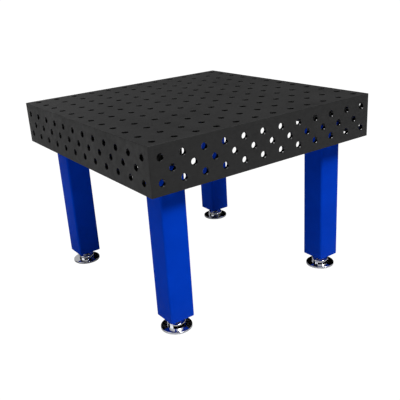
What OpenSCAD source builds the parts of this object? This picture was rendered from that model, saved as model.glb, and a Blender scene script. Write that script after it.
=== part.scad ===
// Perforated welding table: a welded steel box top with a grid of clamping bores,
// four square legs bolted up through stub mounts, and four screw feet for levelling.
// Origin: on the floor under the middle of the top. +X right, +Y back, +Z up. Millimetres.

/* [Table top] */
// Length of the top along X
top_length = 1200; // [800:200:2000]
// Width of the top along Y
top_width = 1200; // [800:200:2000]
// Height of the working face above the floor
top_height = 880; // [780:10:940]
// Height of the box that the plate and the skirts make
box_height = 200; // [200:10:220]
// Thickness of the top plate and of the four skirts
plate_thickness = 15; // [10:1:15]

/* [Clamping bores] */
// Diameter of every clamping bore
bore_diameter = 28; // [22:1:30]
// Spacing of the square grid of bores in the top and along each row of the sides
bore_pitch = 100; // [100:50:100]

/* [Ribs] */
// Thickness of the ribs under the top plate
rib_thickness = 12; // [8:1:12]
// Depth of the ribs below the top plate
rib_depth = 85; // [60:1:85]
// Clearance on each side of a half-lap slot
slot_clearance = 0.2; // [0.1:0.05:0.5]

/* [Legs] */
// Outer width of the square leg tube
leg_width = 120; // [100:10:120]
// Wall thickness of the leg tube
leg_wall = 5; // [4:0.5:8]
// Outer corner radius of the leg tube
leg_corner = 10; // [8:1:12]
// Distance from the edge of the top to the middle of a leg
leg_inset = 150; // [150:100:250]
// Height of the leg tube's lower end above the floor
leg_clearance = 59; // [59:1:70]
// Distance from the working face down to the leg tube's upper end
leg_drop = 126; // [120:1:130]

/* [Leg mounts] */
// Wall thickness of the stub that joins a leg to the top
mount_wall = 8; // [6:1:10]
// Thickness of the plate that closes the stub's lower end
mount_plate = 12; // [10:1:14]
// Diameter of the bolt that holds a leg
leg_bolt = 16; // [12:2:16]

/* [Feet] */
// Diameter of the foot disc
foot_diameter = 140; // [120:5:140]
// Diameter of the foot's hub
hub_diameter = 82; // [76:2:84]
// Height of the top of the hub above the floor
hub_height = 33; // [32:0.5:34]
// Thread diameter of the foot spindle
spindle_diameter = 24; // [20:1:24]
// Length of the spindle's thread above the hub
spindle_reach = 120; // [90:5:150]

/* [Hidden] */

$fn = 64;
black_steel = "#2c2c2e";
blue_paint = "#0a3aa6";
bright_steel = "silver";
cut = 1; // how far a cutting tool runs past the face that it cuts

// Levels above the floor
plate_under = top_height - plate_thickness;
box_bottom = top_height - box_height;
skirt_height = box_height - plate_thickness;
leg_top = top_height - leg_drop;
stub_bottom = leg_top + mount_plate;
bore_rows = [box_height / 4, box_height / 2, box_height * 3 / 4];

// Plan positions
half_length = top_length / 2;
half_width = top_width / 2;
leg_x = half_length - leg_inset;
leg_y = half_width - leg_inset;
FRONT_LEFT = [-leg_x, -leg_y];
FRONT_RIGHT = [leg_x, -leg_y];
REAR_LEFT = [-leg_x, leg_y];
REAR_RIGHT = [leg_x, leg_y];
LEGS = [FRONT_LEFT, FRONT_RIGHT, REAR_LEFT, REAR_RIGHT];

// Ribs run midway between two rows of bores, the outer ones just inside the legs
rib_offset = bore_pitch / 4;
outer_rib_x = leg_x - bore_pitch + rib_offset;
inner_rib_x = bore_pitch + rib_offset;
outer_rib_y = leg_y - bore_pitch + rib_offset;
inner_rib_y = bore_pitch + rib_offset;

// Fits and fastenings
running_gap = 0.06; // radial clearance of a thread or pin that turns or slides
seat_gap = 0.05; // radial gap of a part that is welded or pressed in
tube_gap = 0.3; // gap between a closing plate and the tube wall around it
closing_plate = 15; // plates welded into the two ends of a leg tube
bush_diameter = 44;
bush_length = 40; // how far the bush stands above the leg base
washer_thickness = 3;
nut_thickness = 12;
nut_across_flats = 36;
bolt_head = 24;
bolt_head_height = 16;
bolt_length = 50;
bolt_socket = 14; // across the flats of the bolt's hexagon socket
dowel_diameter = 10;
dowel_length = 22;
dowel_offset = 34; // from the leg's middle, on the diagonal directions X and Y

// Foot
ball_radius = 15;
ball_centre = 20;
ball_gap = 0.1;
pocket_radius = 24; // pocket in the hub that takes the ball retainer
pocket_depth = 7;
neck_radius = 10;
retainer_mouth = 13;

/* ---- shared shapes ---- */

// Values from -limit to limit in equal steps
function span(limit, step) = [for (v = -limit; v <= limit + 0.01; v = v + step) v];

// Bore centres along one edge: the long row, and the short row shifted by half a pitch
function long_grid(length) = span(length / 2 - bore_pitch / 2, bore_pitch);
function short_grid(length) = span(length / 2 - bore_pitch, bore_pitch);

// A square with rounded corners, centred
module rounded_square(width, radius) {
    inner = width - 2 * radius;
    square([width, inner], center = true);
    square([inner, width], center = true);
    for (x = [-inner / 2, inner / 2], y = [-inner / 2, inner / 2])
        translate([x, y]) circle(radius);
}

// A square tube standing on z = 0
module square_tube(width, wall, radius, height) {
    linear_extrude(height) difference() {
        rounded_square(width, radius);
        rounded_square(width - 2 * wall, max(radius - wall, 1));
    }
}

// A round hole's cutting tool, standing on z = 0 and running past both ends
module hole(diameter, height) {
    translate([0, 0, -cut]) cylinder(d = diameter, h = height + 2 * cut);
}

module at_leg(place) {
    translate([place[0], place[1], 0]) children();
}

/* ---- table top ---- */

module top_plate() {
    color(black_steel) difference() {
        translate([-half_length, -half_width, plate_under])
            cube([top_length, top_width, plate_thickness]);
        for (x = long_grid(top_length), y = long_grid(top_width))
            translate([x, y, plate_under]) hole(bore_diameter, plate_thickness);
    }
}

// A skirt's cutting tools: three rows of bores through a wall that is centred on y = 0
module skirt_bores(face_length) {
    for (row = [0, 1, 2]) {
        places = row == 1 ? short_grid(face_length) : long_grid(face_length);
        for (x = places)
            translate([x, -plate_thickness / 2, top_height - bore_rows[row]])
                rotate([-90, 0, 0]) hole(bore_diameter, plate_thickness);
    }
}

// A skirt along X, centred on y = 0; face_length is the length of the table's side
module skirt(wall_length, face_length) {
    color(black_steel) difference() {
        translate([-wall_length / 2, -plate_thickness / 2, box_bottom])
            cube([wall_length, plate_thickness, skirt_height]);
        skirt_bores(face_length);
    }
}

module front_skirt() {
    translate([0, -half_width + plate_thickness / 2, 0]) skirt(top_length, top_length);
}

module rear_skirt() {
    translate([0, half_width - plate_thickness / 2, 0]) skirt(top_length, top_length);
}

// The side skirts stand between the front and the rear skirt
module left_skirt() {
    translate([-half_length + plate_thickness / 2, 0, 0]) rotate([0, 0, 90])
        skirt(top_width - 2 * plate_thickness, top_width);
}

module right_skirt() {
    translate([half_length - plate_thickness / 2, 0, 0]) rotate([0, 0, 90])
        skirt(top_width - 2 * plate_thickness, top_width);
}

/* ---- ribs ---- */

// A rib from the left skirt to the right skirt, slotted from above for the cross ribs
module long_rib(y, slotted) {
    rib_length = top_length - 2 * plate_thickness;
    slot_width = rib_thickness + 2 * slot_clearance;
    color(black_steel) difference() {
        translate([-rib_length / 2, y - rib_thickness / 2, plate_under - rib_depth])
            cube([rib_length, rib_thickness, rib_depth]);
        if (slotted)
            for (x = [-outer_rib_x, -inner_rib_x, inner_rib_x, outer_rib_x])
                translate([x - slot_width / 2, y - rib_thickness, plate_under - rib_depth / 2])
                    cube([slot_width, 2 * rib_thickness, rib_depth]);
    }
}

// A rib between the two outer long ribs, slotted from below over the inner ones
module cross_rib(x) {
    rib_length = 2 * outer_rib_y - rib_thickness;
    slot_width = rib_thickness + 2 * slot_clearance;
    slot_top = plate_under - rib_depth / 2 + slot_clearance;
    color(black_steel) difference() {
        translate([x - rib_thickness / 2, -rib_length / 2, plate_under - rib_depth])
            cube([rib_thickness, rib_length, rib_depth]);
        for (y = [-inner_rib_y, inner_rib_y])
            translate([x - rib_thickness, y - slot_width / 2, slot_top - rib_depth])
                cube([2 * rib_thickness, slot_width, rib_depth]);
    }
}

/* ---- leg mounts ---- */

// A stub of square tube welded under the top plate
module leg_mount() {
    color(black_steel) translate([0, 0, stub_bottom])
        square_tube(leg_width, mount_wall, leg_corner, plate_under - stub_bottom);
}

// The plate under the stub, with a clearance hole for the bolt and two dowel holes
module leg_mount_plate() {
    color(black_steel) translate([0, 0, leg_top]) difference() {
        linear_extrude(mount_plate) rounded_square(leg_width, leg_corner);
        hole(leg_bolt + 1.5, mount_plate);
        for (x = [-dowel_offset, dowel_offset])
            translate([x, 0, 0]) hole(dowel_diameter + 2 * seat_gap, mount_plate);
    }
}

// Socket-head bolts, put in through the bore over the middle of each leg
module leg_bolts() {
    head_bottom = stub_bottom + washer_thickness;
    color(bright_steel) for (place = LEGS) at_leg(place) difference() {
        union() {
            translate([0, 0, head_bottom - bolt_length]) cylinder(d = leg_bolt, h = bolt_length);
            translate([0, 0, head_bottom]) cylinder(d = bolt_head, h = bolt_head_height);
        }
        translate([0, 0, head_bottom + bolt_head_height / 2])
            cylinder(d = bolt_socket / cos(30), h = bolt_head_height, $fn = 6);
    }
}

module leg_bolt_washers() {
    color(bright_steel) for (place = LEGS) at_leg(place)
        translate([0, 0, stub_bottom]) difference() {
            cylinder(d = bolt_head + 6, h = washer_thickness);
            hole(leg_bolt + 1, washer_thickness);
        }
}

// Two dowels at each leg stop it from turning about its bolt
module leg_dowels() {
    color(bright_steel) for (place = LEGS, x = [-dowel_offset, dowel_offset]) at_leg(place)
        translate([x, 0, leg_top - dowel_length / 2])
            cylinder(d = dowel_diameter, h = dowel_length);
}

/* ---- legs ---- */

module leg_tube() {
    color(blue_paint) translate([0, 0, leg_clearance])
        square_tube(leg_width, leg_wall, leg_corner, leg_top - leg_clearance);
}

// A plate that closes the inside of a leg tube
module tube_closer() {
    inside = leg_width - 2 * leg_wall - 2 * tube_gap;
    linear_extrude(closing_plate) rounded_square(inside, leg_corner - leg_wall);
}

// The upper closing plate is tapped for the leg bolt
module leg_cap() {
    color(blue_paint) translate([0, 0, leg_top - closing_plate]) difference() {
        tube_closer();
        hole(leg_bolt + 2 * running_gap, closing_plate);
        for (x = [-dowel_offset, dowel_offset])
            translate([x, 0, 0]) hole(dowel_diameter + 2 * seat_gap, closing_plate);
    }
}

// The lower closing plate carries the bush of the foot spindle
module leg_base() {
    color(blue_paint) translate([0, 0, leg_clearance]) difference() {
        tube_closer();
        hole(bush_diameter + 2 * seat_gap, closing_plate);
    }
}

module spindle_bush() {
    length = closing_plate + bush_length;
    color(bright_steel) translate([0, 0, leg_clearance]) difference() {
        cylinder(d = bush_diameter, h = length);
        hole(spindle_diameter + 2 * running_gap, length);
    }
}

/* ---- feet ---- */

module lock_washer() {
    color(bright_steel) translate([0, 0, leg_clearance - washer_thickness]) difference() {
        cylinder(d = bush_diameter, h = washer_thickness);
        hole(spindle_diameter + 1, washer_thickness);
    }
}

// A thin hexagon nut, its corners taken off by a cone at each end
module lock_nut() {
    nut_bottom = leg_clearance - washer_thickness - nut_thickness;
    corner_radius = nut_across_flats / 2 / cos(30);
    bevel = 2;
    color(bright_steel) translate([0, 0, nut_bottom]) difference() {
        intersection() {
            cylinder(r = corner_radius, h = nut_thickness, $fn = 6);
            rotate_extrude() polygon([
                [0, 0], [corner_radius - bevel, 0], [corner_radius + 1, bevel],
                [corner_radius + 1, nut_thickness - bevel],
                [corner_radius - bevel, nut_thickness], [0, nut_thickness]
            ]);
        }
        hole(spindle_diameter + 2 * running_gap, nut_thickness);
    }
}

// A turned flat disc and a hub with a rounded shoulder that holds the spindle's ball
module foot_disc() {
    rim = foot_diameter / 2;
    hub = hub_diameter / 2;
    web = 9.5; // level of the flat ring around the hub
    color(bright_steel) difference() {
        rotate_extrude($fn = 96) polygon([
            [0, 0], [rim - 1.5, 0], [rim, 1.5], [rim, web - 1.5], [rim - 1.5, web],
            [hub + 1, web], [hub, web + 1],
            [hub, hub_height - 6], [hub - 1.8, hub_height - 1.8], [hub - 6, hub_height], [0, hub_height]
        ]);
        translate([0, 0, ball_centre]) sphere(ball_radius + ball_gap);
        translate([0, 0, ball_centre]) cylinder(r = ball_radius + ball_gap, h = hub_height);
        translate([0, 0, hub_height - pocket_depth])
            cylinder(r = pocket_radius + seat_gap, h = pocket_depth + cut);
    }
}

// A ring screwed into the hub over the ball
module ball_retainer() {
    color(bright_steel) translate([0, 0, hub_height - pocket_depth]) difference() {
        cylinder(r = pocket_radius, h = pocket_depth);
        translate([0, 0, ball_centre - hub_height + pocket_depth]) sphere(ball_radius + ball_gap);
        hole(2 * retainer_mouth, pocket_depth);
    }
}

// The spindle: ball, neck, thread, and two flats for a spanner at its lower end
module foot_spindle() {
    thread_bottom = hub_height + 1;
    flat_height = 8;
    flat_width = 19;
    color(bright_steel) difference() {
        union() {
            translate([0, 0, ball_centre]) sphere(ball_radius);
            translate([0, 0, ball_centre]) cylinder(r = neck_radius, h = thread_bottom - ball_centre);
            translate([0, 0, thread_bottom]) cylinder(d = spindle_diameter, h = spindle_reach);
        }
        for (side = [-1, 1])
            translate([side * spindle_diameter - spindle_diameter / 2 + side * (flat_width
                - spindle_diameter) / 2, -spindle_diameter, thread_bottom + 1])
                cube([spindle_diameter, 2 * spindle_diameter, flat_height]);
    }
}

/* ---- nodes ---- */

top_plate();
front_skirt();
rear_skirt();
left_skirt();
right_skirt();
long_rib(-outer_rib_y, false);  // long_rib_1
long_rib(-inner_rib_y, true);  // long_rib_2
long_rib(inner_rib_y, true);  // long_rib_3
long_rib(outer_rib_y, false);  // long_rib_4
cross_rib(-outer_rib_x);  // cross_rib_1
cross_rib(-inner_rib_x);  // cross_rib_2
cross_rib(inner_rib_x);  // cross_rib_3
cross_rib(outer_rib_x);  // cross_rib_4
leg_bolts();
leg_bolt_washers();
leg_dowels();

at_leg(FRONT_LEFT) leg_mount();  // front_left_leg_mount
at_leg(FRONT_LEFT) leg_mount_plate();  // front_left_mount_plate
at_leg(FRONT_LEFT) leg_tube();  // front_left_leg_tube
at_leg(FRONT_LEFT) leg_cap();  // front_left_leg_cap
at_leg(FRONT_LEFT) leg_base();  // front_left_leg_base
at_leg(FRONT_LEFT) spindle_bush();  // front_left_spindle_bush
at_leg(FRONT_LEFT) lock_washer();  // front_left_lock_washer
at_leg(FRONT_LEFT) lock_nut();  // front_left_lock_nut
at_leg(FRONT_LEFT) foot_disc();  // front_left_foot_disc
at_leg(FRONT_LEFT) ball_retainer();  // front_left_ball_retainer
at_leg(FRONT_LEFT) foot_spindle();  // front_left_foot_spindle

at_leg(FRONT_RIGHT) leg_mount();  // front_right_leg_mount
at_leg(FRONT_RIGHT) leg_mount_plate();  // front_right_mount_plate
at_leg(FRONT_RIGHT) leg_tube();  // front_right_leg_tube
at_leg(FRONT_RIGHT) leg_cap();  // front_right_leg_cap
at_leg(FRONT_RIGHT) leg_base();  // front_right_leg_base
at_leg(FRONT_RIGHT) spindle_bush();  // front_right_spindle_bush
at_leg(FRONT_RIGHT) lock_washer();  // front_right_lock_washer
at_leg(FRONT_RIGHT) lock_nut();  // front_right_lock_nut
at_leg(FRONT_RIGHT) foot_disc();  // front_right_foot_disc
at_leg(FRONT_RIGHT) ball_retainer();  // front_right_ball_retainer
at_leg(FRONT_RIGHT) foot_spindle();  // front_right_foot_spindle

at_leg(REAR_LEFT) leg_mount();  // rear_left_leg_mount
at_leg(REAR_LEFT) leg_mount_plate();  // rear_left_mount_plate
at_leg(REAR_LEFT) leg_tube();  // rear_left_leg_tube
at_leg(REAR_LEFT) leg_cap();  // rear_left_leg_cap
at_leg(REAR_LEFT) leg_base();  // rear_left_leg_base
at_leg(REAR_LEFT) spindle_bush();  // rear_left_spindle_bush
at_leg(REAR_LEFT) lock_washer();  // rear_left_lock_washer
at_leg(REAR_LEFT) lock_nut();  // rear_left_lock_nut
at_leg(REAR_LEFT) foot_disc();  // rear_left_foot_disc
at_leg(REAR_LEFT) ball_retainer();  // rear_left_ball_retainer
at_leg(REAR_LEFT) foot_spindle();  // rear_left_foot_spindle

at_leg(REAR_RIGHT) leg_mount();  // rear_right_leg_mount
at_leg(REAR_RIGHT) leg_mount_plate();  // rear_right_mount_plate
at_leg(REAR_RIGHT) leg_tube();  // rear_right_leg_tube
at_leg(REAR_RIGHT) leg_cap();  // rear_right_leg_cap
at_leg(REAR_RIGHT) leg_base();  // rear_right_leg_base
at_leg(REAR_RIGHT) spindle_bush();  // rear_right_spindle_bush
at_leg(REAR_RIGHT) lock_washer();  // rear_right_lock_washer
at_leg(REAR_RIGHT) lock_nut();  // rear_right_lock_nut
at_leg(REAR_RIGHT) foot_disc();  // rear_right_foot_disc
at_leg(REAR_RIGHT) ball_retainer();  // rear_right_ball_retainer
at_leg(REAR_RIGHT) foot_spindle();  // rear_right_foot_spindle
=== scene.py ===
"""A perforated steel welding table with four square legs and screw feet, in metres."""
import math

import bmesh
import bpy
import numpy as np
from mathutils import Matrix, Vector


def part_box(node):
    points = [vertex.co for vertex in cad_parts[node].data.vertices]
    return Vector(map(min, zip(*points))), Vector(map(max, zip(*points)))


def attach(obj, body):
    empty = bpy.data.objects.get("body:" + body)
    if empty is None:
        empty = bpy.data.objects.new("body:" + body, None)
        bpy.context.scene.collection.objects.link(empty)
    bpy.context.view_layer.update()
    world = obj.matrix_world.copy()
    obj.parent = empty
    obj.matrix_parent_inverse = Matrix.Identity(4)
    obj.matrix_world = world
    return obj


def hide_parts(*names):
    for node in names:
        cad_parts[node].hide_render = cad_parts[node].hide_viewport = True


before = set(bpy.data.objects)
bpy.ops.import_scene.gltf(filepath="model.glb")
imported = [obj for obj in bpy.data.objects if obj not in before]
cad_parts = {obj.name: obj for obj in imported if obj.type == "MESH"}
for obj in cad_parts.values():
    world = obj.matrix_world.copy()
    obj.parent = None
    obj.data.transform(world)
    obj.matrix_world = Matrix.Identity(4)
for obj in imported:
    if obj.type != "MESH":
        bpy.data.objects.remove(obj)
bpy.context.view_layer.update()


# ---------------------------------------------------------------- camera
# A standing person's view of the front left corner, from a little above the top.
# The body is level with the middle of the picture and leans slightly to one side.
camera_place = (-1.6235, -2.3921, 1.4485)
camera_azimuth = math.radians(-34.62)
camera_elevation = math.radians(20.85)
camera_roll = math.radians(-3.66)
camera_lens = 53.66


def aim_camera():
    """Right, up and backward axes from azimuth and elevation, then turned by the roll about backward."""
    sin_a, cos_a = math.sin(camera_azimuth), math.cos(camera_azimuth)
    sin_e, cos_e = math.sin(camera_elevation), math.cos(camera_elevation)
    backward = np.array([sin_a * cos_e, -cos_a * cos_e, sin_e])
    level_right = np.array([cos_a, sin_a, 0.0])
    level_up = np.cross(backward, level_right)
    sin_r, cos_r = math.sin(camera_roll), math.cos(camera_roll)
    axes = np.eye(4)
    axes[:3, 0] = cos_r * level_right + sin_r * level_up
    axes[:3, 1] = cos_r * level_up - sin_r * level_right
    axes[:3, 2] = backward
    axes[:3, 3] = camera_place
    return axes


camera_data = bpy.data.cameras.new("studio_camera")
camera_data.lens = camera_lens
camera_data.sensor_width = 36.0
camera_data.clip_end = 60.0
camera = bpy.data.objects.new("studio_camera", camera_data)
bpy.context.collection.objects.link(camera)
camera.matrix_world = Matrix(aim_camera().tolist())
bpy.context.scene.camera = camera


# ---------------------------------------------------------------- studio
# A white paper floor, a broad window high in front, a soft box on the left, a
# bright wall behind that the top mirrors, and a ceiling that glows overhead.
floor_size = 40.0
floor_shade = 0.55
floor_gap = 0.0002


def seen_or_lit(nodes, links, glow_kind, lit):
    """White where it is seen directly, and the shader lit wherever it gives light."""
    seen = nodes.new(glow_kind)
    seen.inputs["Color"].default_value = (1, 1, 1, 1)
    seen.inputs["Strength"].default_value = 1.05
    path = nodes.new("ShaderNodeLightPath")
    mix = nodes.new("ShaderNodeMixShader")
    links.new(path.outputs["Is Camera Ray"], mix.inputs[0])
    links.new(lit, mix.inputs[1])
    links.new(seen.outputs[0], mix.inputs[2])
    return mix.outputs[0]


def paper_floor():
    """A square sheet just under z = 0: even white from above, a mid-grey paper to the light that falls on
    it, and clear from below so that the underside can be looked at."""
    half = floor_size / 2
    corners = np.array([[-half, -half, -floor_gap], [half, -half, -floor_gap],
                        [half, half, -floor_gap], [-half, half, -floor_gap]])
    mesh = bpy.data.meshes.new("paper_floor")
    mesh.from_pydata(corners.tolist(), [], [(0, 1, 2, 3)])
    sheet = bpy.data.objects.new("paper_floor", mesh)
    bpy.context.collection.objects.link(sheet)
    paper = bpy.data.materials.new("white_paper")
    paper.use_nodes = True
    nodes, links = paper.node_tree.nodes, paper.node_tree.links
    nodes.clear()
    lit = nodes.new("ShaderNodeBsdfDiffuse")
    lit.inputs["Color"].default_value = (floor_shade, floor_shade, floor_shade, 1)
    above = seen_or_lit(nodes, links, "ShaderNodeEmission", lit.outputs[0])
    sides = nodes.new("ShaderNodeMixShader")
    links.new(nodes.new("ShaderNodeNewGeometry").outputs["Backfacing"], sides.inputs[0])
    links.new(above, sides.inputs[1])
    links.new(nodes.new("ShaderNodeBsdfTransparent").outputs[0], sides.inputs[2])
    links.new(sides.outputs[0], nodes.new("ShaderNodeOutputMaterial").inputs["Surface"])
    mesh.materials.append(paper)


def aim_light(lamp, place, target):
    """Hang a light at place with its face towards target."""
    holder = bpy.data.objects.new(lamp.name, lamp)
    bpy.context.collection.objects.link(holder)
    back = np.array(place, float) - np.array(target, float)
    back /= np.linalg.norm(back)
    side = np.cross([0.0, 0.0, 1.0], back)
    side /= np.linalg.norm(side)
    turn = np.eye(4)
    turn[:3, 0], turn[:3, 1], turn[:3, 2], turn[:3, 3] = side, np.cross(back, side), back, place
    holder.matrix_world = Matrix(turn.tolist())


def soft_box(name, place, target, width, height, power):
    """An area light at place whose face looks at target."""
    lamp = bpy.data.lights.new(name, "AREA")
    lamp.shape = "RECTANGLE"
    lamp.size = width
    lamp.size_y = height
    lamp.energy = power
    aim_light(lamp, place, target)


def high_window(place, strength, softness):
    """A far soft light that shines from place towards the origin, as wide as softness in degrees."""
    lamp = bpy.data.lights.new("high_window", "SUN")
    lamp.energy = strength
    lamp.angle = math.radians(softness)
    aim_light(lamp, place, (0, 0, 0))


def studio_air():
    """Dim light that comes down from the ceiling and fades out towards the horizon."""
    world = bpy.data.worlds.new("studio_air")
    bpy.context.scene.world = world
    world.use_nodes = True
    nodes, links = world.node_tree.nodes, world.node_tree.links
    nodes.clear()
    way = nodes.new("ShaderNodeSeparateXYZ")
    links.new(nodes.new("ShaderNodeTexCoord").outputs["Generated"], way.inputs[0])
    fade = nodes.new("ShaderNodeMapRange")
    fade.inputs["From Min"].default_value = ceiling_edge
    fade.inputs["From Max"].default_value = ceiling_full
    fade.inputs["To Max"].default_value = ceiling_glow
    links.new(way.outputs["Z"], fade.inputs["Value"])
    ceiling = nodes.new("ShaderNodeBackground")
    links.new(fade.outputs["Result"], ceiling.inputs["Strength"])
    air = seen_or_lit(nodes, links, "ShaderNodeBackground", ceiling.outputs[0])
    links.new(air, nodes.new("ShaderNodeOutputWorld").inputs["Surface"])


window_power = 1.75
left_power = 28
back_power = 30
ceiling_glow = 1.7
ceiling_edge = 0.6
ceiling_full = 0.95
window_width = 16.0
paper_floor()
studio_air()
high_window((0.35, -2.3, 2.75), window_power, window_width)
soft_box("left_box", (-5.0, 0.0, 1.2), (0, 0, 0.5), 3.5, 2.4, left_power)
soft_box("back_wall_box", (-0.5, 6.5, 2.0), (0, 0, 0.7), 6.0, 3.6, back_power)
bpy.context.scene.view_settings.view_transform = "Standard"


# ---------------------------------------------------------------- top plate
# A 15 mm steel plate, bored on a square grid, its edges broken and its bores
# chamfered on both sides, welded on the skirts and blackened with them.
bore_radius = 0.014
bore_pitch = 0.1
top_chamfer = 0.0008
side_chamfer = 0.0015
bore_sides = 24
cell = bore_pitch / 2
box_corner_radius = 0.004
chamfer_bare = 0.14
wall_bare = 0.08
edge_wear = 0.02


def grid_faces(rows, columns, close_rows=False, close_columns=True):
    """Quads of a grid of rows by columns points, listed row after row; either way may close on itself."""
    row = np.arange(rows if close_rows else rows - 1)[:, None]
    column = np.arange(columns if close_columns else columns - 1)[None, :]
    below, beside = (row + 1) % rows, (column + 1) % columns
    quads = [row * columns + column, row * columns + beside,
             below * columns + beside, below * columns + column]
    return np.stack(np.broadcast_arrays(*quads), -1).reshape(-1, 4)


def make_piece(name, points, faces, crease=30.0, merge=2e-6, bare=None):
    """A mesh object from points and faces, joined where points meet, smooth up to the crease angle.
    bare says for each face how much of its steel is bare or worn, from 0 to 1."""
    mesh = bpy.data.meshes.new(name)
    mesh.from_pydata(np.asarray(points, float).tolist(), [], [tuple(f) for f in faces])
    if bare is not None:
        marks = mesh.attributes.new("bare_steel", "FLOAT", "FACE")
        marks.data.foreach_set("value", np.asarray(bare, float))
    work = bmesh.new()
    work.from_mesh(mesh)
    bmesh.ops.remove_doubles(work, verts=work.verts, dist=merge)
    bmesh.ops.recalc_face_normals(work, faces=work.faces)
    work.to_mesh(mesh)
    work.free()
    mesh.shade_smooth()
    mesh.set_sharp_from_angle(angle=math.radians(crease))
    piece = bpy.data.objects.new(name, mesh)
    bpy.context.collection.objects.link(piece)
    return piece


def edge_inset(depth, radius):
    """How far a rounded edge of that radius stands back from the side face at a depth below the face."""
    return radius - np.sqrt(np.maximum(radius ** 2 - np.maximum(radius - depth, 0) ** 2, 0))


def cell_block(columns, rows, thickness, staggered):
    """Square cells centred on a lattice of half the bore pitch. A cell has a bore where its column and
    row numbers are both odd and, in a staggered block, where both are even. A bored cell is a ring of
    points at each angle: on the cell's square outline, on the chamfer's rim, on the bore wall, and the
    same on the far face; a plain cell is two polygons. The third result marks the faces that the
    boring head cut."""
    angle = np.arange(bore_sides) * 2 * np.pi / bore_sides
    circle = np.stack([np.cos(angle), np.sin(angle)], -1)
    square = circle / np.abs(circle).max(1, keepdims=True) * cell / 2
    chamfer = side_chamfer if staggered else top_chamfer
    rim, wall = circle * (bore_radius + chamfer), circle * bore_radius
    flat = [square, rim, wall, wall, rim, square]
    depth = [0, 0, chamfer, thickness - chamfer, thickness, thickness]
    ring = np.stack([np.c_[f, np.full(bore_sides, d)] for f, d in zip(flat, depth)])
    column, row = np.meshgrid(columns, rows, indexing="ij")
    centre = np.stack([column * cell, row * cell, column * 0.0], -1).reshape(-1, 3)
    on_grid = (column + row) % 2 == 0
    bored = (on_grid & (staggered | (column % 2 == 1))).reshape(-1)
    bore_points = (centre[bored][:, None, None] + ring[None]).reshape(-1, 3)
    bore_faces = grid_faces(len(ring), bore_sides)
    step = np.arange(bored.sum())[:, None, None] * ring[..., 0].size
    bore_faces = (bore_faces[None] + step).reshape(-1, 4)
    plain = (centre[~bored][:, None, None] + ring[None][:, [0, 5]]).reshape(-1, 3)
    plain_faces = np.arange(len(plain)).reshape(-1, bore_sides) + len(bore_points)
    cut = np.repeat([0, chamfer_bare, wall_bare, chamfer_bare, 0], bore_sides)
    bare = np.append(np.tile(cut, bored.sum()), np.zeros(len(plain_faces)))
    return np.vstack([bore_points, plain]), bore_faces.tolist() + plain_faces.tolist(), bare


def side_marks(numbers):
    """Where the outlines of a row of cells have points along one side."""
    across = np.tan(np.linspace(-np.pi / 4, np.pi / 4, bore_sides // 4 + 1))[:-1] * cell / 2
    marks = (np.asarray(numbers)[:, None] * cell + across[None]).ravel()
    return np.append(marks, (numbers[-1] + 0.5) * cell)


def border_loops(u_marks, v_marks, low, high, corner):
    """The block's outline and the plate's outline, point for point, with outward directions. Each corner
    of the block is repeated for the points that round the plate's corner, or for its one sharp point."""
    turns = np.linspace(0, np.pi / 2, 5) if corner else np.array([np.pi / 4])
    scale = 1.0 if corner else math.sqrt(2)
    sides = [(u_marks, v_marks[0], 0), (v_marks, u_marks[-1], 1), (u_marks[::-1], v_marks[-1], 2),
             (v_marks[::-1], u_marks[0], 3)]
    outward = np.array([[0, -1], [1, 0], [0, 1], [-1, 0]], float)
    reach = [low[1], high[0], high[1], low[0]]
    inner, outer, facing = [], [], []
    for marks, level, side in sides:
        along = side % 2
        block = np.zeros((len(marks), 2))
        block[:, along], block[:, 1 - along] = marks, level
        rim = block.copy()
        rim[:, 1 - along] = reach[side]
        inner.append(block)
        outer.append(rim)
        facing.append(np.tile(outward[side], (len(marks), 1)))
        here, ahead = outward[side], outward[(side + 1) % 4]
        way = (np.cos(turns)[:, None] * here + np.sin(turns)[:, None] * ahead) * scale
        point = np.where(here + ahead > 0, high, low) - (here + ahead) * corner
        inner.append(np.tile(block[-1], (len(turns), 1)))
        outer.append(point + way * corner)
        facing.append(way)
    return np.vstack(inner), np.vstack(outer), np.vstack(facing)


def bored_plate(columns, rows, low, high, thickness, front_edge, back_edge, corner=0.0, staggered=True):
    """A plate in (u, v, depth): its bored cells, and a border strip that runs from the block's outline
    over the front edge, down the side and back under. front_edge and back_edge give the rounding of
    the edges that face u and v."""
    points, faces, bare = cell_block(columns, rows, thickness, staggered)
    inner, outer, facing = border_loops(side_marks(columns), side_marks(rows), low, high, corner)
    arc = 1 - np.cos(np.linspace(0, np.pi / 2, 5))
    front_depth = np.unique(np.concatenate([arc * front_edge[0], arc * front_edge[1]]).round(7))
    back_depth = np.unique(np.concatenate([arc * back_edge[0], arc * back_edge[1]]).round(7))[::-1]
    rings = [np.c_[inner, np.zeros(len(inner))]]
    for depth in front_depth:
        back_off = np.array([edge_inset(depth, front_edge[0]), edge_inset(depth, front_edge[1])])
        rings.append(np.c_[outer - facing * back_off, np.full(len(outer), depth)])
    for depth in back_depth:
        back_off = np.array([edge_inset(depth, back_edge[0]), edge_inset(depth, back_edge[1])])
        rings.append(np.c_[outer - facing * back_off, np.full(len(outer), thickness - depth)])
    rings.append(np.c_[inner, np.full(len(inner), thickness)])
    border = grid_faces(len(rings), len(inner)) + len(points)
    worn = np.zeros((len(rings) - 1, len(inner)))
    worn[1:len(front_depth)] = edge_wear
    return np.vstack([points] + rings), faces + border.tolist(), np.append(bare, worn)


def new_material(name):
    """An empty node material with its shader, and the tools to add to it."""
    material = bpy.data.materials.new(name)
    material.use_nodes = True
    nodes, links = material.node_tree.nodes, material.node_tree.links
    return material, nodes, links, nodes["Principled BSDF"]


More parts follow.
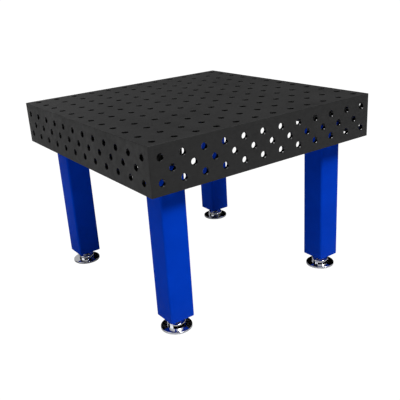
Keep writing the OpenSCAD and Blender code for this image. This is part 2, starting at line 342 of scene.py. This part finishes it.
def noise(nodes, links, place, scale, detail=3.0, stretch=(1, 1, 1)):
    """Fractal noise on object coordinates, stretched along an axis by a small factor there."""
    mapping = nodes.new("ShaderNodeMapping")
    mapping.inputs["Scale"].default_value = stretch
    links.new(place, mapping.inputs["Vector"])
    texture = nodes.new("ShaderNodeTexNoise")
    texture.inputs["Scale"].default_value = scale
    texture.inputs["Detail"].default_value = detail
    links.new(mapping.outputs[0], texture.inputs["Vector"])
    return texture.outputs["Fac"]


def blend_range(nodes, links, value, low_in, high_in, low_out, high_out):
    """A value mapped from one range to another."""
    node = nodes.new("ShaderNodeMapRange")
    links.new(value, node.inputs["Value"])
    ends = {"From Min": low_in, "From Max": high_in, "To Min": low_out, "To Max": high_out}
    for socket, number in ends.items():
        node.inputs[socket].default_value = number
    return node.outputs["Result"]


def blend_colour(nodes, links, factor, first, second):
    """A mix of two colours, or of a socket and a colour."""
    node = nodes.new("ShaderNodeMix")
    node.data_type = "RGBA"
    links.new(factor, node.inputs["Factor"])
    for socket, colour in ((node.inputs[6], first), (node.inputs[7], second)):
        if hasattr(colour, "links"):
            links.new(colour, socket)
        else:
            socket.default_value = colour
    return node.outputs[2]


def blend_values(nodes, links, kind, first, second):
    """Two values added, multiplied or otherwise joined; the second may be a number."""
    node = nodes.new("ShaderNodeMath")
    node.operation = kind
    for socket, value in ((node.inputs[0], first), (node.inputs[1], second)):
        if hasattr(value, "links"):
            links.new(value, socket)
        else:
            socket.default_value = value
    return node.outputs[0]


def raise_surface(nodes, links, shader, height, distance):
    """The height of a pattern as a bump of that many metres."""
    bump = nodes.new("ShaderNodeBump")
    bump.inputs["Distance"].default_value = distance
    bump.inputs["Strength"].default_value = 1.0
    links.new(height, bump.inputs["Height"])
    links.new(bump.outputs["Normal"], shader.inputs["Normal"])


black_gloss = 0.76
full_gloss = 0.06


def blackened_steel():
    """Nitrided plate, satin black: a faint cloud, fine grinding along X and small scuffs. Where bare_steel
    is above 0 the cutter left a dark gloss and a little bright metal shows."""
    material, nodes, links, shader = new_material("blackened_steel")
    place = nodes.new("ShaderNodeTexCoord").outputs["Object"]
    cloud = noise(nodes, links, place, 5.0, 4.0)
    grain = noise(nodes, links, place, 420.0, 2.0, (0.06, 1, 1))
    speckle = noise(nodes, links, place, 900.0, 2.0)
    rub = noise(nodes, links, place, 70.0, 4.0)
    tone = blend_colour(nodes, links, blend_range(nodes, links, cloud, 0.35, 0.65, 0, 1),
                        (0.0008, 0.0008, 0.0009, 1), (0.0016, 0.0016, 0.0017, 1))
    scuff = blend_range(nodes, links, speckle, 0.62, 0.8, 0, 0.5)
    tone = blend_colour(nodes, links, scuff, tone, (0.004, 0.004, 0.0042, 1))
    marked = nodes.new("ShaderNodeAttribute")
    marked.attribute_name = "bare_steel"
    uneven = blend_range(nodes, links, rub, 0.3, 0.6, 0.7, 1.0)
    bare = blend_values(nodes, links, "MULTIPLY", marked.outputs["Fac"], uneven)
    links.new(blend_colour(nodes, links, bare, tone, (0.42, 0.42, 0.43, 1)), shader.inputs["Base Color"])
    metal = blend_range(nodes, links, bare, 0.0, full_gloss, 0.0, 1.0)
    links.new(metal, shader.inputs["Metallic"])
    mottle = noise(nodes, links, place, 38.0, 3.0)
    rough = blend_values(nodes, links, "ADD", blend_range(nodes, links, cloud, 0.3, 0.7, 0.60, 0.70),
                         blend_range(nodes, links, grain, 0.3, 0.7, -0.05, 0.05))
    patchy = blend_range(nodes, links, mottle, 0.3, 0.7, -0.06, 0.06)
    rough = blend_values(nodes, links, "ADD", rough, patchy)
    smoothed = blend_values(nodes, links, "MULTIPLY", metal, -0.45)
    links.new(blend_values(nodes, links, "ADD", rough, smoothed), shader.inputs["Roughness"])
    shader.inputs["Specular IOR Level"].default_value = black_gloss
    height = blend_values(nodes, links, "ADD", grain, blend_values(nodes, links, "MULTIPLY", speckle, 0.5))
    raise_surface(nodes, links, shader, height, 0.00004)
    return material


black = blackened_steel()
table_body = "table"


def fit_out(piece, material, body, slot_name, *nodes_hidden):
    """Give a piece its finish and its body, and hide the nodes that it stands for. slot_name is not used.
    """
    piece.data.materials.append(material)
    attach(piece, body)
    if nodes_hidden:
        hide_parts(*nodes_hidden)
    return piece


def plate_size(node):
    """A node's lowest corner, highest corner and size as arrays."""
    low, high = (np.array(corner, float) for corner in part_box(node))
    return low, high, high - low


plate_low, plate_high, plate_extent = plate_size("top_plate")
plate_thickness = plate_extent[2]
lattice = np.arange(-11, 12)
seam_edge = 0.0
outer_edge = 0.0015
top_bore_bare = 0.055
points, faces, bare = bored_plate(lattice, lattice, plate_low[:2], plate_high[:2], plate_thickness,
                                  (outer_edge, outer_edge), (seam_edge, seam_edge), box_corner_radius,
                                  staggered=False)
points[:, 2] = plate_high[2] - points[:, 2]
bare = np.minimum(bare, top_bore_bare)
top_piece = make_piece("bored_top_plate", points, faces, bare=bare)
fit_out(top_piece, black, table_body, "black_steel", "top_plate")


# ---------------------------------------------------------------- skirts
# Four bored plates stand under the rim of the top. The front and rear ones run the
# full length and their outer upright edges are ground round, the side ones fit between.
bore_rows = np.arange(-1, 2)


def skirt_piece(node, along, outer_sign, end_edge):
    """A bored plate stood on edge: u runs along axis number along, v upwards from the middle row of
    bores, and depth inwards from the outer face."""
    low, high, extent = plate_size(node)
    middle_row = plate_high[2] - bore_pitch
    flat_low = np.array([low[along], low[2] - middle_row])
    flat_high = np.array([high[along], high[2] - middle_row])
    flat, skirt_faces, bare = bored_plate(lattice, bore_rows, flat_low, flat_high, plate_thickness,
                                          (end_edge, seam_edge), (seam_edge, seam_edge))
    across = 1 - along
    placed = np.zeros((len(flat), 3))
    placed[:, along] = flat[:, 0]
    outer_face = high[across] if outer_sign > 0 else low[across]
    placed[:, across] = outer_face - outer_sign * flat[:, 2]
    placed[:, 2] = flat[:, 1] + middle_row
    piece = make_piece("bored_" + node, placed, skirt_faces, bare=bare)
    return fit_out(piece, black, table_body, "black_steel", node)


skirt_piece("front_skirt", 0, -1, box_corner_radius)
skirt_piece("rear_skirt", 0, 1, box_corner_radius)
skirt_piece("left_skirt", 1, -1, seam_edge)
skirt_piece("right_skirt", 1, 1, seam_edge)


# ---------------------------------------------------------------- ribs and leg mounts
# Laser-cut ribs slotted into each other, and stubs of square tube with a plate under
# each, all welded to the top and blackened with it. Their CAD shape is the real one.
corners = ("front_left", "front_right", "rear_left", "rear_right")


def refinish(node, material):
    """Give a CAD node's own mesh a material."""
    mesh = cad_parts[node].data
    mesh.materials.clear()
    mesh.materials.append(material)


for number in range(1, 5):
    refinish(f"long_rib_{number}", black)
    refinish(f"cross_rib_{number}", black)
for corner in corners:
    refinish(corner + "_leg_mount", black)
    refinish(corner + "_mount_plate", black)


# ---------------------------------------------------------------- welds
# Short fillet beads inside the box, laid by hand between the bores and blackened with
# it. They join the ribs, skirts and stubs to the top, and the skirts to each other.
bead_leg = 0.005
bead_rings = 13
stitch_half = 0.018
stub_bead_half = 0.026
rib_end_half = 0.008
rib_end_drop = 0.0095
corner_heights = (0.71, 0.775, 0.838)
leg_offset = 0.45
stub_reach = 0.075
bore_reach = 0.019
underside = plate_low[2]
beads = []


def weld_beads(name, rows):
    """Fillet beads, one for each row of middle, direction along, two directions up the walls and half
    length. Ring i is at t from -1 to 1 of the half length. Its points fan from one wall to the other at
    a reach between a flat and a round fillet, less on every other ring, shrinking at both ends."""
    middle, along, first, second = (np.array([row[k] for row in rows], float) for k in range(4))
    half = np.array([row[4] for row in rows])
    t = np.linspace(-1, 1, bead_rings)
    fan = np.linspace(0, np.pi / 2, 5)
    reach = bead_leg * (0.34 + 0.6 / (np.cos(fan) + np.sin(fan)))
    swell = np.where(np.arange(bead_rings) % 2 == 0, 0.88, 1.0) * (0.25 + 0.75 * np.sqrt(1 - t ** 4))
    ways = np.cos(fan)[None, :, None] * first[:, None] + np.sin(fan)[None, :, None] * second[:, None]
    line = middle[:, None] + along[:, None] * (half[:, None] * t)[..., None]
    skin = line[:, :, None] + ways[:, None] * (reach[None] * swell[:, None])[None, :, :, None]
    root = line[:, :, None] - 0.0003 * (first + second)[:, None, None]
    ring = np.concatenate([root, skin], 2)
    count = ring.shape[2]
    caps = [list(range(count)), list(range((bead_rings - 1) * count, bead_rings * count))]
    one_bead = grid_faces(bead_rings, count).tolist() + caps
    step = bead_rings * count
    faces = [[point + step * number for point in face]
             for number in range(len(rows)) for face in one_bead]
    return make_piece(name, ring.reshape(-1, 3), faces, crease=50.0, merge=1e-7)


def stitch(axis, wall, outward, steps):
    """Beads under the top along X (axis 0) or Y (axis 1) on a wall that faces outward, at whole numbers of
    half pitches where the next row of bores has none."""
    for step in steps:
        middle, along, up_wall = np.zeros(3), np.eye(3)[axis], np.eye(3)[1 - axis] * outward
        middle[[axis, 1 - axis, 2]] = step * cell, wall, underside
        under_stub = (np.abs(np.abs(middle[:2]) - leg_offset) < stub_reach).all()
        if not under_stub:
            beads.append((middle, along, up_wall, (0, 0, -1), stitch_half))


def rib_stitches(node, axis, odd_steps, even_steps):
    """Beads along both sides of a rib, clear of the bores beside it."""
    low, high, extent = plate_size(node)
    for wall, outward in ((low[1 - axis], -1), (high[1 - axis], 1)):
        beside = round((wall + outward * bore_reach) / cell)
        stitch(axis, wall, outward, odd_steps if beside % 2 == 0 else even_steps)
        if axis == 0:
            for end in (-1, 1):
                middle = (end * skirt_inside, wall, underside - rib_end_drop)
                beads.append((middle, (0, 0, 1), (-end, 0, 0), (0, outward, 0), rib_end_half))


skirt_inside = plate_high[0] - plate_thickness
for number in range(1, 5):
    rib_stitches(f"long_rib_{number}", 0, (-9, -5, -1, 1, 5, 9), (-8, -4, 0, 4, 8))
    rib_stitches(f"cross_rib_{number}", 1, (-5, -1, 1, 5), (-4, 0, 4))
for side in (-1, 1):
    for axis in (0, 1):
        stitch(axis, side * skirt_inside, -side, (-10, -6, -2, 2, 6, 10))
    for other in (-1, 1):
        for height in corner_heights:
            middle = (side * skirt_inside, other * skirt_inside, height)
            beads.append((middle, (0, 0, 1), (-side, 0, 0), (0, -other, 0), stitch_half))
for corner in corners:
    low, high, extent = plate_size(corner + "_leg_mount")
    middle = (low + high) / 2
    for way in np.array([[1, 0, 0], [-1, 0, 0], [0, 1, 0], [0, -1, 0]]):
        foot_of_wall = np.append(middle[:2], underside) + way * extent[0] / 2
        beads.append((foot_of_wall, np.abs(way[[1, 0, 2]]), way, (0, 0, -1), stub_bead_half))
fit_out(weld_beads("box_welds", beads), black, table_body, "black_steel")


# ---------------------------------------------------------------- legs
# Square hollow section, sawn to length, closed at both ends and powder coated blue.
tube_wall = 0.005
tube_corner = 0.010
tube_end_edge = 0.0008
tube_turn_steps = 8


def rounded_square_path(half_width, radius, steps):
    """A closed path round a square with rounded corners: each corner is a quarter circle of equal steps."""
    turn = np.linspace(0, np.pi / 2, steps + 1)
    quarter = np.arange(4)[:, None] * np.pi / 2 + turn[None]
    diagonal = np.arange(4) * np.pi / 2 + np.pi / 4
    centre = np.stack([np.cos(diagonal), np.sin(diagonal)], -1) * math.sqrt(2) * (half_width - radius)
    out = np.stack([np.cos(quarter), np.sin(quarter)], -1)
    return (centre[:, None] + out * radius).reshape(-1, 2), out.reshape(-1, 2)


def leg_tube(corner, material):
    """The square path repeated at insets and heights that go up the outer wall, over a quarter round at
    each edge of the upper end, down the inner wall and back under."""
    low, high, extent = plate_size(corner + "_leg_tube")
    centre = (low + high) / 2
    half_width = extent[0] / 2
    turn = np.linspace(0, np.pi / 2, 4)
    round_in, round_up = tube_end_edge * (1 - np.sin(turn)), tube_end_edge * (1 - np.cos(turn))
    inset = np.concatenate([round_in, round_in[::-1], tube_wall - round_in, tube_wall - round_in[::-1]])
    height = np.concatenate([low[2] + round_up, high[2] - round_up[::-1],
                             high[2] - round_up, low[2] + round_up[::-1]])
    path, out = rounded_square_path(half_width, tube_corner, tube_turn_steps)
    flat = path[None] - out[None] * inset[:, None, None]
    level = np.broadcast_to(height[:, None, None], flat.shape[:2] + (1,))
    points = np.concatenate([flat + centre[:2], level], -1)
    faces = grid_faces(len(inset), len(path), close_rows=True)
    piece = make_piece(corner + "_leg", points.reshape(-1, 3), faces)
    return fit_out(piece, material, table_body, "blue_paint", corner + "_leg_tube")


coat_gloss = 0.015
coat_tint = (0.15, 0.45, 1.0, 1)


def blue_powder_coat():
    """Blue coating with the soft dimples of orange peel, a little cloudiness, and dust near the floor."""
    material, nodes, links, shader = new_material("blue_powder_coat")
    place = nodes.new("ShaderNodeTexCoord").outputs["Object"]
    cloud = noise(nodes, links, place, 6.0, 3.0)
    peel = noise(nodes, links, place, 190.0, 1.0)
    grit = noise(nodes, links, place, 1100.0, 2.0)
    tone = blend_colour(nodes, links, blend_range(nodes, links, cloud, 0.3, 0.7, 0, 1),
                        (0.0004, 0.050, 0.60, 1), (0.0008, 0.060, 0.69, 1))
    upright = nodes.new("ShaderNodeSeparateXYZ")
    links.new(place, upright.inputs[0])
    low_down = blend_range(nodes, links, upright.outputs["Z"], 0.06, 0.16, 0.16, 0.0)
    grains = blend_range(nodes, links, grit, 0.45, 0.7, 0, 1)
    dust = blend_values(nodes, links, "MULTIPLY", low_down, grains)
    links.new(blend_colour(nodes, links, dust, tone, (0.07, 0.12, 0.34, 1)), shader.inputs["Base Color"])
    links.new(blend_range(nodes, links, cloud, 0.3, 0.7, 0.36, 0.48), shader.inputs["Roughness"])
    shader.inputs["Specular IOR Level"].default_value = coat_gloss
    shader.inputs["Specular Tint"].default_value = coat_tint
    raise_surface(nodes, links, shader, peel, 0.00025)
    return material


blue = blue_powder_coat()
for corner in corners:
    leg_tube(corner, blue)
    refinish(corner + "_leg_cap", blue)
    refinish(corner + "_leg_base", blue)


# ---------------------------------------------------------------- leg bolts, washers and dowels
# Zinc-plated fastenings inside the stubs, and the bush of each foot spindle.
def zinc_steel():
    """Bright zinc plating over turned steel: a blue-grey sheen with fine cloudy variation."""
    material, nodes, links, shader = new_material("zinc_steel")
    place = nodes.new("ShaderNodeTexCoord").outputs["Object"]
    cloud = noise(nodes, links, place, 60.0, 3.0)
    tone = blend_colour(nodes, links, cloud, (0.52, 0.53, 0.56, 1), (0.68, 0.69, 0.70, 1))
    links.new(tone, shader.inputs["Base Color"])
    links.new(blend_range(nodes, links, cloud, 0.3, 0.7, 0.18, 0.34), shader.inputs["Roughness"])
    shader.inputs["Metallic"].default_value = 1.0
    raise_surface(nodes, links, shader, noise(nodes, links, place, 900.0, 2.0), 0.00001)
    return material


zinc = zinc_steel()
for node in ("leg_bolts", "leg_bolt_washers", "leg_dowels"):
    refinish(node, zinc)
for corner in corners:
    refinish(corner + "_spindle_bush", zinc)


# ---------------------------------------------------------------- feet
# A turned and chromed disc with a hub, a ball-ended spindle screwed up into the leg,
# a thin lock nut and a washer against the leg's lower end.
lathe_sides = 96


def lathe(name, centre, profile, closed=False):
    """A profile of radius and height turned about the upright axis through centre."""
    angle = np.arange(lathe_sides) * 2 * np.pi / lathe_sides
    radius, height = np.asarray(profile, float).T
    ring = np.stack([np.cos(angle), np.sin(angle)], -1)
    flat = radius[:, None, None] * ring[None] + np.asarray(centre)[:2]
    level = np.broadcast_to(height[:, None, None], flat.shape[:2] + (1,))
    points = np.concatenate([flat, level], -1)
    faces = grid_faces(len(profile), lathe_sides, close_rows=closed)
    return make_piece(name, points.reshape(-1, 3), faces, merge=1e-6)


def arc(centre, radius, start, end, steps=8):
    """Points along part of a circle in the profile plane, angles in degrees from the outward direction."""
    angle = np.radians(np.linspace(start, end, steps + 1))
    return np.stack([centre[0] + radius * np.cos(angle), centre[1] + radius * np.sin(angle)], -1)


def polished_chrome():
    """Chrome plate over turned steel: mirror bright, a little haze, and dull specks of weld dust."""
    material, nodes, links, shader = new_material("polished_chrome")
    place = nodes.new("ShaderNodeTexCoord").outputs["Object"]
    haze = noise(nodes, links, place, 45.0, 3.0)
    specks = blend_range(nodes, links, noise(nodes, links, place, 700.0, 2.0), 0.66, 0.74, 0, 0.35)
    tone = blend_colour(nodes, links, specks, (0.86, 0.87, 0.90, 1), (0.40, 0.39, 0.38, 1))
    links.new(tone, shader.inputs["Base Color"])
    rough = blend_range(nodes, links, haze, 0.35, 0.75, 0.03, 0.08)
    dulled = blend_values(nodes, links, "MULTIPLY", specks, 0.6)
    links.new(blend_values(nodes, links, "ADD", rough, dulled), shader.inputs["Roughness"])
    shader.inputs["Metallic"].default_value = 1.0
    raise_surface(nodes, links, shader, haze, 0.00004)
    return material


chrome = polished_chrome()
hub_radius = 0.041
web_height = 0.0095
rim_edge = 0.0015
shoulder = 0.006
hub_fillet = 0.001
pocket_radius = 0.0241
pocket_depth = 0.007
ball_centre = 0.020
ball_radius = 0.015
seat_radius = ball_radius + 0.0001
axis_radius = 1e-7


def foot_disc(corner):
    """The disc's section: under face, broken edge, flat ring, small fillet, hub with a round shoulder, and
    its pocket and ball seat."""
    low, high, extent = plate_size(corner + "_foot_disc")
    centre = (low + high) / 2
    rim = extent[0] / 2
    hub_top = high[2]
    profile = np.vstack([
        [[0.0, 0.0], [rim - rim_edge, 0.0]], arc((rim - rim_edge, rim_edge), rim_edge, -90, 0, 4),
        arc((rim - rim_edge, web_height - rim_edge), rim_edge, 0, 90, 6),
        arc((hub_radius + hub_fillet, web_height + hub_fillet), hub_fillet, -90, -180, 4),
        arc((hub_radius - shoulder, hub_top - shoulder), shoulder, 0, 90, 12),
        [[pocket_radius, hub_top], [pocket_radius, hub_top - pocket_depth]],
        [[seat_radius, hub_top - pocket_depth], [seat_radius, ball_centre]],
        arc((0.0, ball_centre), seat_radius, 0, -90, 10),
    ])
    profile[0, 0] = axis_radius
    profile[-1, 0] = axis_radius
    piece = lathe(corner + "_foot", centre, profile)
    return fit_out(piece, chrome, corner + "_foot", "chrome", corner + "_foot_disc")


thread_pitch = 0.003
thread_depth = 0.0017
thread_sides = 48
neck_radius = 0.010
thread_radius = 0.012
thread_bottom = 0.034
flat_half_width = 0.0095
flat_low = thread_bottom + 0.001
flat_high = thread_bottom + 0.009
end_bevel = 0.0015
thread_run_in = 0.002


def foot_spindle(corner):
    """Radius as a function of height and angle: the ball's circle, the neck, then the thread's outer radius
    less a tooth that climbs one pitch in a turn. Two flats cut the lowest turns."""
    low, high, extent = plate_size(corner + "_foot_spindle")
    centre = (low + high) / 2
    top = high[2]
    neck_angle = math.degrees(math.acos(neck_radius / ball_radius))
    thread_height = np.arange(thread_bottom + end_bevel, top - end_bevel, thread_pitch / 8)
    profile = np.vstack([
        arc((0, ball_centre), ball_radius, -90, neck_angle, 18),
        [[neck_radius, thread_bottom], [thread_radius - end_bevel, thread_bottom]],
        np.c_[np.full(len(thread_height), thread_radius), thread_height],
        [[thread_radius, top - end_bevel], [thread_radius - end_bevel, top], [axis_radius, top]],
    ])
    profile[0, 0] = axis_radius
    radius, height = profile.T
    angle = np.arange(thread_sides) * 2 * np.pi / thread_sides
    turn = height[:, None] / thread_pitch - angle[None] / (2 * np.pi)
    tooth = np.clip((np.abs(turn % 1 - 0.5) * 2 - 0.125) / 0.625, 0, 1)
    run_in = np.clip((height - thread_bottom - thread_run_in) / thread_run_in, 0, 1)
    run_out = np.clip((top - end_bevel - height) / thread_run_in, 0, 1)
    reach = radius[:, None] - thread_depth * tooth * (run_in * run_out)[:, None]
    across, along = reach * np.cos(angle), reach * np.sin(angle)
    on_flat = (height > flat_low) & (height < flat_high)
    across[on_flat] = np.clip(across[on_flat], -flat_half_width, flat_half_width)
    level = np.broadcast_to(height[:, None], across.shape)
    points = np.stack([across + centre[0], along + centre[1], level], -1)
    faces = grid_faces(len(height), thread_sides)
    piece = make_piece(corner + "_screw", points.reshape(-1, 3), faces, 35.0, 1e-6)
    return fit_out(piece, zinc, corner + "_spindle", "zinc_steel", corner + "_foot_spindle")


nut_sides = 96
thread_gap = 0.0001
nut_face_radius = 0.0172
bore_break = 0.0012
nut_bevel = math.radians(30)


def lock_nut(corner):
    """Rings round the nut: bore, face, cone and flat. The hexagon's reach at an angle is half the width
    over the cosine of the angle from the nearest flat's middle, and a cone bevels both of its ends."""
    low, high, extent = plate_size(corner + "_lock_nut")
    centre = (low + high) / 2
    bottom, top = low[2], high[2]
    half_flats = min(extent[0], extent[1]) / 2
    angle = np.arange(nut_sides) * 2 * np.pi / nut_sides
    first_flat = 0 if extent[0] < extent[1] else np.pi / 6
    from_flat = (angle + first_flat + np.pi / 6) % (np.pi / 3) - np.pi / 6
    hexagon = half_flats / np.cos(from_flat)
    drop = (hexagon - nut_face_radius) * math.tan(nut_bevel)
    bore = np.full(nut_sides, thread_radius + thread_gap)
    face = np.full(nut_sides, nut_face_radius)
    level = np.ones(nut_sides)
    reach = np.stack([bore, bore + bore_break, face, hexagon, hexagon, face, bore + bore_break, bore])
    height = np.stack([level * (bottom + bore_break), level * bottom, level * bottom, bottom + drop,
                       top - drop, level * top, level * top, level * (top - bore_break)])
    points = np.stack([centre[0] + reach * np.cos(angle), centre[1] + reach * np.sin(angle), height], -1)
    faces = grid_faces(len(reach), nut_sides, close_rows=True)
    piece = make_piece(corner + "_jam_nut", points.reshape(-1, 3), faces, crease=20.0)
    return fit_out(piece, zinc, corner + "_nut", "zinc_steel", corner + "_lock_nut")


ring_edge = 0.0006
washer_bore = thread_radius + 0.0005
punch_edge = 0.0002


def lock_washer(corner):
    """A flat ring punched from sheet: its outer edge is rounded above and below, its bore nearly square."""
    low, high, extent = plate_size(corner + "_lock_washer")
    turned_in = extent[0] / 2 - ring_edge
    profile = np.vstack([
        [[washer_bore, low[2] + punch_edge], [washer_bore + punch_edge, low[2]]],
        arc((turned_in, low[2] + ring_edge), ring_edge, -90, 0, 4),
        arc((turned_in, high[2] - ring_edge), ring_edge, 0, 90, 4),
        [[washer_bore + punch_edge, high[2]], [washer_bore, high[2] - punch_edge]],
    ])
    piece = lathe(corner + "_flat_washer", (low + high) / 2, profile, closed=True)
    return fit_out(piece, zinc, corner + "_washer", "zinc_steel", corner + "_lock_washer")


mouth_radius = 0.013


def ball_retainer(corner):
    """A ring screwed in over the ball: broken upper edges, a hollow seat that follows the ball, a mouth."""
    low, high, extent = plate_size(corner + "_ball_retainer")
    outside = extent[0] / 2
    seat_angle = math.degrees(math.asin((low[2] - ball_centre) / seat_radius))
    mouth_angle = math.degrees(math.acos(mouth_radius / seat_radius))
    profile = np.vstack([
        arc((0, ball_centre), seat_radius, seat_angle, mouth_angle, 3),
        [[mouth_radius, high[2] - ring_edge], [mouth_radius + ring_edge, high[2]]],
        [[outside - ring_edge, high[2]], [outside, high[2] - ring_edge], [outside, low[2]]],
    ])
    piece = lathe(corner + "_hub_ring", (low + high) / 2, profile, closed=True)
    return fit_out(piece, chrome, corner + "_foot", "chrome", corner + "_ball_retainer")


for corner in corners:
    foot_disc(corner)
    ball_retainer(corner)
    foot_spindle(corner)
    lock_nut(corner)
    lock_washer(corner)
